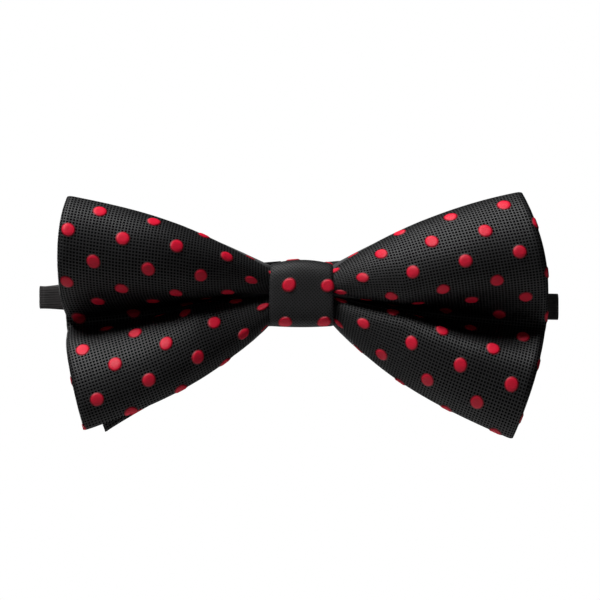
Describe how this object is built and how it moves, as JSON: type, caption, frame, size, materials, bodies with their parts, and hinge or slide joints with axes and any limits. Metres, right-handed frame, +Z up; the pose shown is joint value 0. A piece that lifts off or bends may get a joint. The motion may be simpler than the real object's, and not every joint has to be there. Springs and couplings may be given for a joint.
{
  "type": "bow tie",
  "caption": "Pre-tied dotted bow tie with two folded wings, a bias-cut knot and an adjustable hook-and-eye neck strap folded behind.",
  "frame": {"origin": "on the back face of the strap layer that is folded behind the knot, at the middle of the bow; the knot is centred 4.5 mm above it", "axes": "+X along the wings, to the viewer's right; +Z up as worn; the front of the bow faces -Y"},
  "size_m": [0.1274, 0.0258, 0.0595],
  "materials": {
    "dotted_jacquard": "woven black with satin red dots",
    "interlining": "matt non-woven",
    "black_thread": "twisted thread",
    "strap_ribbon": "fine ribbed satin",
    "black_metal": "semi-gloss black"
  },
  "bodies": {
    "bow": {"front_bow_cover": "dotted_jacquard", "front_bow_interlining": "interlining", "rear_bow_cover": "dotted_jacquard", "rear_bow_interlining": "interlining", "waist_binding_thread": "black_thread", "bow_seam_stitches": "black_thread", "strap_anchor_stitches": "black_thread", "knot_wrap": "dotted_jacquard", "knot_interlining": "interlining", "knot_back_stitches": "black_thread", "neck_strap_centre": "strap_ribbon", "left_strap_fold": "strap_ribbon", "right_strap_fold": "strap_ribbon"},
    "left_tail": {"left_strap_tail": "strap_ribbon"},
    "slider": {"slider_frame": "black_metal", "strap_return_layer": "strap_ribbon", "slider_bar_tack": "black_thread"},
    "eye_loop": {"strap_eye_loop": "strap_ribbon"},
    "eye": {"eye_ring": "black_metal"},
    "right_tail": {"right_strap_tail": "strap_ribbon", "hook_bar_tack": "black_thread"},
    "hook": {"hook": "black_metal"}
  },
  "joints": [
    {"name": "left_fold", "type": "hinge", "parent": "bow", "child": "left_tail", "pos_m": [-0.06312, -0.00399, 0.00364], "axis": [-0.0308, 0, 0.9995], "range_deg": [0, 180], "deforming": ["left_strap_fold"]},
    {"name": "right_fold", "type": "hinge", "parent": "bow", "child": "right_tail", "pos_m": [0.06127, -0.00279, 0.0014], "axis": [0.0026, 0, -1], "range_deg": [0, 180], "deforming": ["right_strap_fold"]},
    {"name": "slider_adjust", "type": "slide", "parent": "left_tail", "child": "slider", "axis": [0.9968, 0, 0.0799], "range_m": [0, 0.08], "deforming": ["strap_return_layer"]},
    {"name": "eye_travel", "type": "slide", "parent": "left_tail", "child": "eye_loop", "axis": [0.9968, 0, 0.0799], "range_m": [0, 0.04]},
    {"name": "eye_swing", "type": "hinge", "parent": "eye_loop", "child": "eye", "pos_m": [0.04919, -0.0012, 0.0126], "axis": [-0.0799, 0, 0.9968], "range_deg": [-15, 140]},
    {"name": "hook_swing", "type": "hinge", "parent": "right_tail", "child": "hook", "pos_m": [-0.01298, -0.0012, -0.00031], "axis": [0.0235, 0, -0.9997], "range_deg": [0, 130]}
  ],
  "couplings": [
    {"joint": "eye_travel", "follows": "slider_adjust", "ratio": 0.5}
  ]
}
